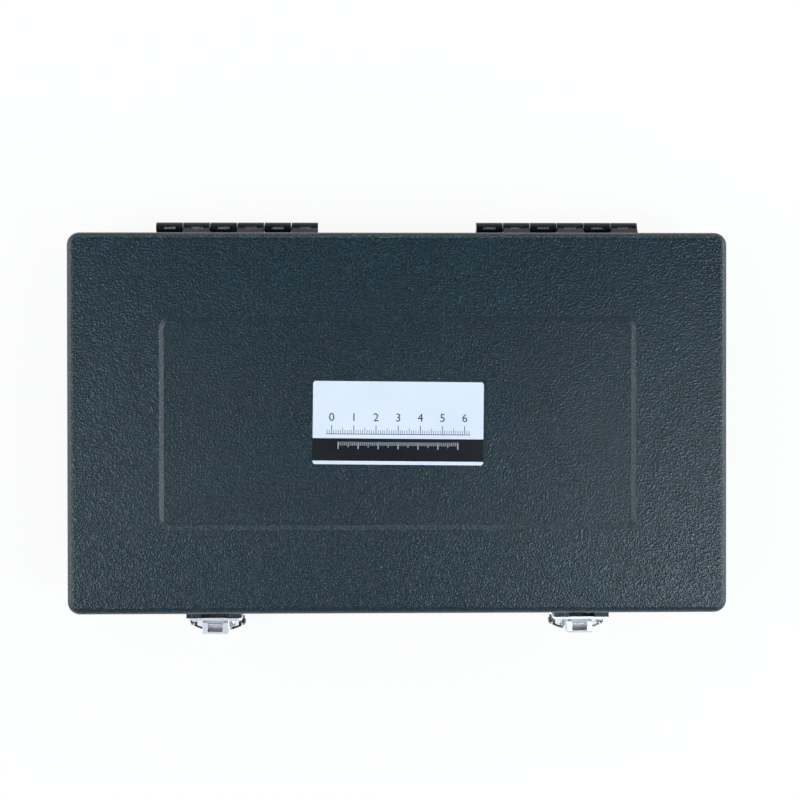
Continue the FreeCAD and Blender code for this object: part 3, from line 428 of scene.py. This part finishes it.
def rim_lines(finish, node, lines, line, lengths):
    """1 on graduations round the rim of a wheel whose axle lies along x."""
    low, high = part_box(node)
    middle = (low + high) / 2
    radius = (high.z - low.z) / 2
    x, y, z = finish.axes()
    angle = finish.node("ShaderNodeMath", {"operation": "ARCTAN2"}, y - middle.y, z - middle.z)
    spoke = finish.node("ShaderNodeCombineXYZ", None, 0.0, y - middle.y, z - middle.z)
    reach = finish.node("ShaderNodeVectorMath", {"operation": "LENGTH"}, spoke, output="Value")
    mask = scale_lines(angle, high.x - x, 2 * math.pi / lines, line / radius, lengths)
    return mask * (reach > radius - RIM_DEPTH)


# %% Scale on the tracer arm
RIM_DEPTH = 0.6 * MM
INK_BLACK = tint(18, 18, 20)
ARM_GREY = tint(208, 210, 213)
ARM_SCALE_START = 30 * MM
ARM_SCALE_END = 132 * MM
arm_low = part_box("tracer_arm")[0]
arm_metal = metal("graduated alloy", ARM_GREY, 0.50, 0.10, 0.0003, along=DRAWN)
x, y, z = arm_metal.axes()
arm_scale = scale_lines(x - arm_low.x, y - (arm_low.y + 0.6 * MM), 1.0 * MM, 0.18 * MM,
                        (2 * MM, 3 * MM, 4.2 * MM))
arm_scale = arm_scale * (x > arm_low.x + ARM_SCALE_START) * (x < arm_low.x + ARM_SCALE_END)
arm_metal.set("Base Color", arm_metal.mix(arm_scale, ARM_GREY, INK_BLACK))
give(arm_metal, "tracer_arm")

# %% Scale on the test rule
RULE_GREY = tint(214, 215, 216)
RULE_ZERO = 10 * MM
rule_low, rule_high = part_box("test_rule")
rule_metal = metal("graduated rule", RULE_GREY, 0.50, 0.10, 0.0003, along=DRAWN)
x, y, z = rule_metal.axes()
rule_scale = scale_lines(x - (rule_low.x + RULE_ZERO), y - (rule_low.y + 0.8 * MM), 1.0 * MM, 0.2 * MM,
                         (2.2 * MM, 3.4 * MM, 4.8 * MM))
rule_end = RULE_ZERO - 0.2 * MM
rule_scale = rule_scale * (x > rule_low.x + rule_end) * (x < rule_high.x - rule_end)
rule_metal.set("Base Color", rule_metal.mix(rule_scale, RULE_GREY, INK_BLACK))
give(rule_metal, "test_rule")

# %% Scale on the measuring wheel, and the brass weight
WHEEL_GREY = tint(206, 207, 209)
wheel_metal = metal("wheel steel", WHEEL_GREY, 0.24, 0.10, 0.0004)
wheel_scale = rim_lines(wheel_metal, "measuring_wheel", 100, 0.22 * MM, (1.2 * MM, 1.8 * MM, 2.6 * MM))
wheel_metal.set("Base Color", wheel_metal.mix(wheel_scale, WHEEL_GREY, INK_BLACK))
give(wheel_metal, "measuring_wheel")
weight_brass = metal("turned brass", tint(214, 176, 102), 0.40, 0.12, 0.0004)
give(weight_brass, "pole_weight")

# %% [markdown]
# ## The label plate
#
# A thin plate lies in the middle of the sunk panel: a pale field above a black band, and a narrow
# pale strip along its front edge. It carries what suits a measuring instrument: a graduated scale
# with numbers on the field, and a vernier on the band. The plate was stuck on a little out of true,
# so the pattern is drawn on its own turned axes, u along and v across.

# %% The label's finish
LABEL_TURN = math.radians(-0.6)
cosine, sine = math.cos(LABEL_TURN), math.sin(LABEL_TURN)
label_width = label_high.x - label_low.x
label_depth = label_high.y - label_low.y
plate_width = (label_width * cosine - label_depth * abs(sine)) / math.cos(2 * LABEL_TURN)
plate_depth = (label_depth * cosine - label_width * abs(sine)) / math.cos(2 * LABEL_TURN)
label = Finish("label plate", roughness=0.32)
x, y, z = label.axes()
u = (x - label_middle.x) * cosine + (y - label_middle.y) * sine
v = (y - label_middle.y) * cosine - (x - label_middle.x) * sine

# %% The label's band and its two scales
LINE = 0.22 * MM
SCALE_HALF = 32.6 * MM
VERNIER_HALF = 27.6 * MM
field_end = -0.187 * plate_depth
band_end = -0.458 * plate_depth
scale_foot = -0.135 * plate_depth
vernier_top = field_end - 1.6 * MM
band = (v < field_end) * (v > band_end)
scale = scale_lines(u, v - scale_foot, 1.0 * MM, LINE, (1.8 * MM, 2.8 * MM, 4.0 * MM))
scale = scale.either((v - scale_foot).within(0.0, 0.3 * MM)) * (u.size() < SCALE_HALF)
vernier = scale_lines(u, vernier_top - v, 0.9 * MM, LINE, (1.6 * MM, 2.4 * MM, 3.2 * MM))
vernier = vernier * (u.size() < VERNIER_HALF) * band

# %% The label's colours
faint = label.noise(0.02, detail=2.0)
field = label.mix(faint.between(0.3, 0.7), tint(214, 221, 233), tint(208, 216, 230))
printed = label.mix(scale, field, tint(40, 46, 56))
banded = label.mix(band, printed, tint(9, 10, 18))
label.set("Base Color", label.mix(vernier, banded, tint(196, 202, 212)))
label.set("Roughness", faint * 0.08 + 0.28)
label.bump(label.noise(0.0006), 0.00001, 0.3)
give(label, "label_plate")
print("label plate", round(plate_width / MM, 1), "x", round(plate_depth / MM, 1), "mm")

# %% [markdown]
# ## Printed numbers and marks
#
# Numbers are text objects, made into thin raised meshes like thick ink, because a mesh can ride on
# a body and be exported, and because digits drawn with shader maths would be long and hard to read.
# Each row of numbers is joined into one piece.


# %% Number maker
INK = 0.04 * MM


def alone(piece):
    """Deselects everything and selects one piece, which then is the active one."""
    bpy.ops.object.select_all(action="DESELECT")
    piece.select_set(True)
    bpy.context.view_layer.objects.active = piece


def word(text, place, height, turn=0.0):
    """One word as a thin mesh, its middle at place."""
    bpy.ops.object.select_all(action="DESELECT")
    bpy.ops.object.text_add(location=(0, 0, 0))
    made = bpy.context.object
    made.data.body = text
    made.data.size = height
    made.data.extrude = INK / 2
    made.data.align_x = "CENTER"
    made.data.align_y = "CENTER"
    made.data.resolution_u = 4
    bpy.ops.object.convert(target="MESH")
    made = bpy.context.object
    made.matrix_world = Matrix.Translation(place) @ Matrix.Rotation(turn, 4, "Z")
    bpy.ops.object.transform_apply(location=True, rotation=True, scale=True)
    return made


def joined(name, parts, finish, body):
    """Joins meshes into one piece that rides on a body."""
    alone(parts[0])
    for part in parts:
        part.select_set(True)
    if len(parts) > 1:
        bpy.ops.object.join()
    made = bpy.context.object
    made.name = name
    made.data.name = name
    made.data.materials.clear()
    made.data.materials.append(finish.material)
    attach(made, body)
    print(name, "has", len(made.data.polygons), "faces")
    return made


def on_label(along, across):
    """A place on the label's top, from its own axes."""
    return Vector((label_middle.x + along * cosine - across * sine,
                   label_middle.y + along * sine + across * cosine, label_high.z + INK / 2))


# %% Numbers on the label, the rule and the keys
dark_print = plastic("dark print", tint(36, 42, 52), 0.5)
white_print = plastic("white print", tint(226, 228, 230), 0.5)
CENTIMETRE = 10 * MM
row = []
for n in range(7):
    row.append(word(str(n), on_label((n - 3) * CENTIMETRE, scale_foot + 7.4 * MM), 5.2 * MM, LABEL_TURN))
joined("label_numbers", row, dark_print, "lid")

row = []
for n in range(11):
    place = Vector((rule_low.x + RULE_ZERO + n * CENTIMETRE, rule_high.y - 4.2 * MM, rule_high.z + INK / 2))
    row.append(word(str(n), place, 3.6 * MM))
joined("rule_numbers", row, dark_print, "case")

for key, text in (("key_power", "ON"), ("key_clear", "C"), ("key_hold", "H")):
    low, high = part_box(key)
    middle = (low + high) / 2
    mark = word(text, Vector((middle.x, middle.y, high.z + INK / 2)), 3.4 * MM)
    joined(key + "_mark", [mark], white_print, key)

# %% [markdown]
# ## Display digits
#
# A liquid crystal digit is seven bars with pointed ends. One bar is a six-sided cylinder, flattened
# and drawn out so that two of its corners are the points. It is modelled once and copied, and
# the whole row is joined into one piece that lies on the display sheet.


# %% The bars of each digit
DIGIT_HEIGHT = 8.0 * MM
DIGIT_WIDTH = 4.2 * MM
DIGIT_STEP = 7.0 * MM
BAR = 1.1 * MM
BAR_LENGTH = DIGIT_WIDTH * 0.94
BARS = {"0": "abcdef", "2": "abged", "5": "afgcd"}
BAR_PLACES = {"a": (0, 1, 0), "b": (0.5, 0.5, 90), "c": (0.5, -0.5, 90), "d": (0, -1, 0),
              "e": (-0.5, -0.5, 90), "f": (-0.5, 0.5, 90), "g": (0, 0, 0)}


# %% One bar
bpy.ops.object.select_all(action="DESELECT")
bpy.ops.mesh.primitive_cylinder_add(vertices=6, radius=BAR / 2, depth=INK, location=(0, 0, 0),
                                    rotation=(0, 0, math.radians(30)))
bar = bpy.context.object
bpy.ops.object.transform_apply(location=True, rotation=True, scale=True)
for corner in bar.data.vertices:
    corner.co.x += math.copysign(BAR_LENGTH / 2 - BAR * 0.55, corner.co.x)
print("bar", [round(side / MM, 2) for side in bar.dimensions], "mm")


# %% Copies of the bar, one for each that is lit
def bar_copy(place, turn):
    """A copy of the bar with its own mesh, turned by degrees about its middle."""
    made = bar.copy()
    made.data = bar.data.copy()
    bpy.context.collection.objects.link(made)
    made.matrix_world = Matrix.Translation(place) @ Matrix.Rotation(math.radians(turn), 4, "Z")
    alone(made)
    bpy.ops.object.transform_apply(location=True, rotation=True, scale=True)
    return made


display_low, display_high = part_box("lcd_panel")
display_middle = (display_low + display_high) / 2
parts = []
for place_in_row, digit in enumerate("0250"):
    centre_x = display_middle.x + (place_in_row - 1.5) * DIGIT_STEP
    for name in BARS[digit]:
        across, up, turn = BAR_PLACES[name]
        place = Vector((centre_x + across * DIGIT_WIDTH, display_middle.y + up * DIGIT_HEIGHT / 2,
                        display_high.z + INK / 2))
        parts.append(bar_copy(place, turn))
bpy.data.objects.remove(bar)
joined("display_digits", parts, dark_print, "case")

# %% [markdown]
# ## The foam pad under the lid
#
# Soft foam with rows of rounded bumps holds the instrument down when the case is shut. A real pad is
# cut from a block by a wavy blade. Here a fine grid is extruded into a slab, its lower points are
# pushed up between the bumps, and the sides pull in a little towards the middle of each edge. The
# tips stay at the lowest level that the pad may reach, so nothing below is touched.

# %% The pad's slab, from a fine grid
pad_low, pad_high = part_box("lid_pad")
pad_size = pad_high - pad_low
pad_middle = (pad_low + pad_high) / 2
bpy.ops.object.select_all(action="DESELECT")
bpy.ops.mesh.primitive_grid_add(x_subdivisions=160, y_subdivisions=68, size=1.0, location=(0, 0, 0))
pad = bpy.context.object
pad.scale = (pad_size.x, pad_size.y, 1.0)
bpy.ops.object.transform_apply(location=True, rotation=True, scale=True)
bpy.ops.object.mode_set(mode="EDIT")
bpy.ops.mesh.select_all(action="SELECT")
bpy.ops.mesh.extrude_region_move(TRANSFORM_OT_translate={"value": (0, 0, pad_size.z)})
bpy.ops.mesh.select_all(action="SELECT")
bpy.ops.mesh.normals_make_consistent(inside=False)
bpy.ops.object.mode_set(mode="OBJECT")
print("pad slab", len(pad.data.polygons), "faces")

# %% The pad's bumps and its drawn-in sides
BUMP_PITCH = 11.5 * MM
BUMP_DEPTH = 3.0 * MM
EDGE_ROUND = 2.5 * MM
SIDE_DIP = 0.8 * MM
for corner in pad.data.vertices:
    px, py, pz = corner.co
    to_side = pad_size.x / 2 - abs(px)
    to_end = pad_size.y / 2 - abs(py)
    rounding = max(0.0, 1.0 - min(to_side, to_end) / EDGE_ROUND)
    if pz < pad_size.z / 2:
        wave = math.cos(2 * math.pi * px / BUMP_PITCH) * math.cos(2 * math.pi * py / BUMP_PITCH)
        corner.co.z = BUMP_DEPTH * (1 - wave) / 2 * (1 - rounding) + rounding ** 2 * EDGE_ROUND
    if to_side < EDGE_ROUND:
        corner.co.x -= math.copysign(SIDE_DIP * rounding * (1 - (2 * py / pad_size.y) ** 2), px)
    if to_end < EDGE_ROUND:
        corner.co.y -= math.copysign(SIDE_DIP * rounding * (1 - (2 * px / pad_size.x) ** 2), py)
pad.location = (pad_middle.x, pad_middle.y, pad_low.z)
bpy.ops.object.transform_apply(location=True, rotation=True, scale=True)
alone(pad)
bpy.ops.object.shade_smooth()
pad.name = "foam_pad"
print("foam pad", len(pad.data.polygons), "faces")

# %% The pad's foam
foam = Finish("charcoal foam", roughness=0.95)
pores = foam.cells(0.0009)
soft = foam.noise(0.012, detail=3.0)
lit = (pores + soft - 0.4).between(0.0, 0.8)
foam.set("Base Color", foam.mix(lit, tint(30, 31, 34), tint(66, 68, 72)))
foam.bump(pores, 0.0004, 0.8)
pad.data.materials.append(foam.material)
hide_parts("lid_pad")
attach(pad, "lid")

# %% [markdown]
# ## Floor, light and camera
#
# The photograph is a studio shot on white, taken from straight above. The floor is pale paper that
# keeps a soft shadow, and is lifted towards white only where the camera, a mirror or a lens sees it.
# The room is a light tent with a dark hole overhead, where the camera stands, so that a flat lid
# that faces it looks dark in the middle and slopes that face the tent's walls look lighter. Two
# lamps high at the sides brighten the ends of the lid, two low ones pick out the walls of the sunk
# panel, and a narrow strip behind shines on the hinge pins. The lamps are a little cool. The camera,
# and a ray through clear plastic, see plain white in place of the tent.

# %% The floor
bpy.ops.object.select_all(action="DESELECT")
bpy.ops.mesh.primitive_plane_add(size=6.0, location=(0, 0, 0))
floor = bpy.context.object
floor.name = "floor"
PAPER_LIFT = 0.9
paper = Finish("white paper", colour=(0.86, 0.86, 0.86), roughness=0.9)
glow = paper.node("ShaderNodeEmission", None, Color=(1, 1, 1, 1), Strength=1.0)
lift = paper.seen("Is Camera Ray", "Is Glossy Ray", "Is Transmission Ray") * PAPER_LIFT
surface = paper.node("ShaderNodeMixShader", None, lift, Wire(paper, paper.shader.outputs[0]), glow)
paper.join(surface, paper.tree.nodes["Material Output"].inputs["Surface"])
floor.data.materials.append(paper.material)
floor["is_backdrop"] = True
print("floor", floor.dimensions.x, "m wide")

# %% The light tent
tent_world = bpy.data.worlds.new("light tent")
bpy.context.scene.world = tent_world
tent_world.use_nodes = True
tent = Board(tent_world.node_tree)
SIDE_WALL = 1.15
END_WALL = 0.45
HOLE_SHARE = 0.96
across, _, up = tent.axes(tent.node("ShaderNodeTexCoord", output="Generated"))
hole = up.between(0.62, 0.88)
sideways = across.size().between(0.25, 0.75)
wall_glow = sideways * (SIDE_WALL - END_WALL) + END_WALL
walls = tent.node("ShaderNodeBackground", None, (1, 1, 1, 1), wall_glow * (1 - hole * HOLE_SHARE))
backdrop = tent.node("ShaderNodeBackground", None, (1, 1, 1, 1), 1.0)
seen_world = tent.node("ShaderNodeMixShader", None, tent.seen("Is Camera Ray", "Is Transmission Ray"),
                       walls, backdrop)
tent.join(seen_world, tent.tree.nodes["World Output"].inputs["Surface"])
print("tent walls", SIDE_WALL, "at the sides and", END_WALL, "at the ends")


# %% The lamps
COOL_WHITE = (0.82, 0.93, 1.0)


def soft_light(name, place, width, height, brightness):
    """A soft lamp that faces the case, with the given radiance, where 1 is white."""
    bpy.ops.object.light_add(type="AREA", location=place)
    lamp = bpy.context.object
    lamp.name = name
    lamp.data.shape = "RECTANGLE"
    lamp.data.size = width
    lamp.data.size_y = height
    lamp.data.energy = brightness * math.pi * width * height
    lamp.data.color = COOL_WHITE
    lamp.rotation_euler = (-Vector(place)).to_track_quat("-Z", "Y").to_euler()
    print(name, round(lamp.data.energy, 1), "W")


soft_light("left_high", (-0.62, -0.20, 1.1), 0.30, 0.60, 6.2)
soft_light("right_high", (0.62, -0.32, 1.1), 0.30, 0.60, 10.0)
soft_light("back_strip", (0.0, 1.0, 0.70), 1.2, 0.10, 8.0)
soft_light("left_low", (-1.1, 0.0, 0.40), 1.3, 0.5, 2.4)
soft_light("right_low", (1.1, 0.0, 0.40), 1.3, 0.5, 3.4)

# %% [markdown]
# ## The camera
#
# A camera's place and tilt can be found from straight edges whose real size is known. Here the lid's
# outline, the panel and the label give the height above the case and a tilt of about one degree. The
# focal length is worked out in pixels, so the lens follows from the sensor and picture width.

# %% The camera
FOCAL_PIXELS = 1515.0
PICTURE_WIDTH = 800
camera_data = bpy.data.cameras.new("camera")
camera_data.sensor_width = 36.0
camera_data.lens = FOCAL_PIXELS * camera_data.sensor_width / PICTURE_WIDTH
camera = bpy.data.objects.new("camera", camera_data)
bpy.context.scene.collection.objects.link(camera)
camera.location = (-0.01297, 0.01870, 0.73423)
camera.rotation_euler = (math.radians(-0.434), math.radians(-1.156), math.radians(-0.063))
bpy.context.scene.camera = camera
bpy.context.scene.view_settings.view_transform = "Standard"
print("lens", round(camera_data.lens, 1), "mm")

# %% [markdown]
# ## Sizes and the end
#
# The bounds of the object, with the finishes and the added pieces, are measured last.
# The finishes and the added pieces must not make the object larger than the frame.

# %% Measure the bounds
low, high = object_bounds()
